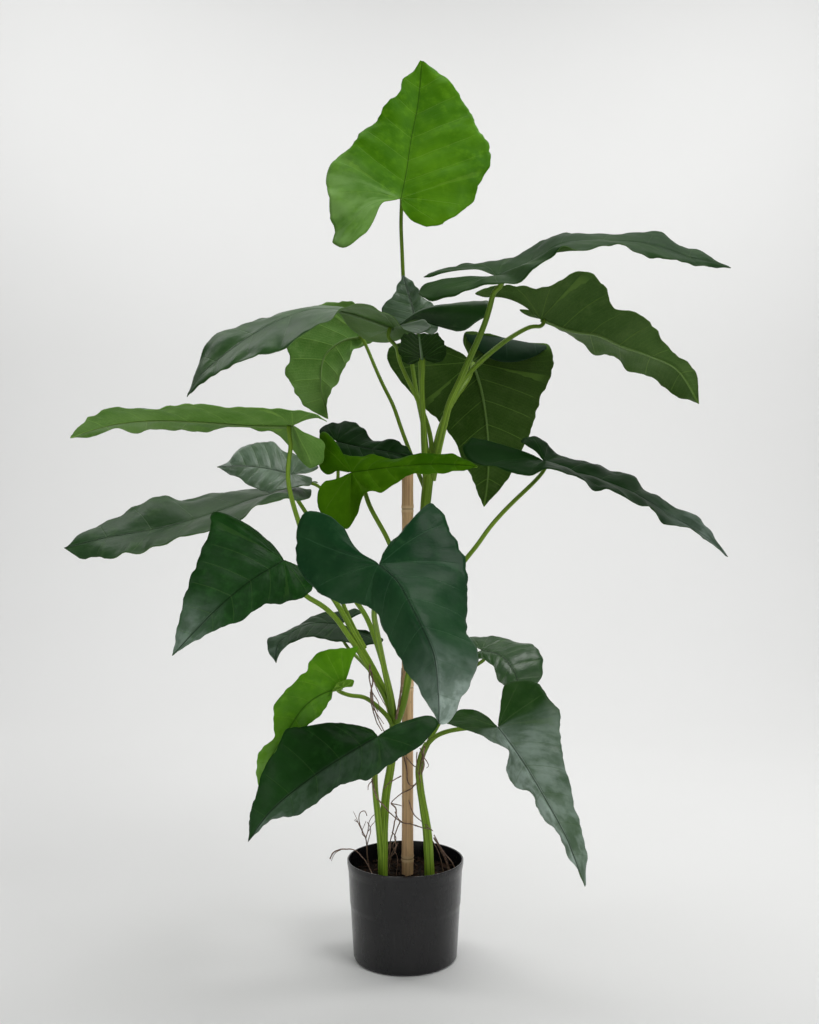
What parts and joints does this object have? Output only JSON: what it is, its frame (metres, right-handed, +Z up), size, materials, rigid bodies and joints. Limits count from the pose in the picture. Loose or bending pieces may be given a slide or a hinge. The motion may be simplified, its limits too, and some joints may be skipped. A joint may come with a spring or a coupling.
{
  "type": "potted alocasia",
  "caption": "Potted alocasia with tall stalks of arrow-shaped waved leaves, a bamboo stake and wiry roots in a round charcoal nursery pot.",
  "frame": {"origin": "centre of the pot's flat underside, on the pot's axis", "axes": "+Z up along the pot's axis, +X to the right and +Y to the back as seen from the front"},
  "size_m": [0.8685, 0.4439, 1.232],
  "materials": {
    "pot": "dark charcoal moulded plastic, soft sheen",
    "soil": "dark brown potting soil with bark crumbs",
    "bamboo": "dry bamboo, tan with brown nodes, satin",
    "stalk": "smooth light green leaf stalks with fine streaks, satin",
    "leaf_bright": "young leaf, bright green, satin, pale veins",
    "leaf_mid": "leaf, mid green, matte underside, pale veins",
    "leaf_dark": "leaf, dark green, waxy sheen, pale veins",
    "leaf_deep": "leaf, deep blue-green, waxy sheen, pale veins",
    "leaf_sheen": "leaf, grey-green, strong waxy sheen, pale veins",
    "root": "thin brown aerial root, dry and matte",
    "dry_stalk": "dry pink-brown stalk, matte"
  },
  "bodies": {
    "root": {"pot": "pot", "soil": "soil", "bamboo_stake": "bamboo", "stem_main": "stalk", "stem_right": "stalk", "leaf_01": "leaf_bright", "leaf_02": "leaf_sheen", "leaf_03": "leaf_mid", "leaf_04": "leaf_sheen", "leaf_05": "leaf_mid", "leaf_06": "leaf_dark", "leaf_07": "leaf_sheen", "leaf_08": "leaf_mid", "leaf_09": "leaf_dark", "leaf_10": "leaf_bright", "leaf_11": "leaf_sheen", "leaf_12": "leaf_sheen", "leaf_13": "leaf_dark", "leaf_14": "leaf_deep", "leaf_15": "leaf_dark", "leaf_16": "leaf_mid", "leaf_17": "leaf_dark", "leaf_18": "leaf_bright", "leaf_19": "leaf_dark", "leaf_20": "leaf_sheen", "leaf_21": "leaf_sheen", "root_over_rim": "root", "root_tuft": "root", "root_across": "root", "root_loop": "root", "root_right": "root", "root_hanging": "root", "root_left_soil": "root", "stalk_dry": "dry_stalk"}
  },
  "joints": []
}
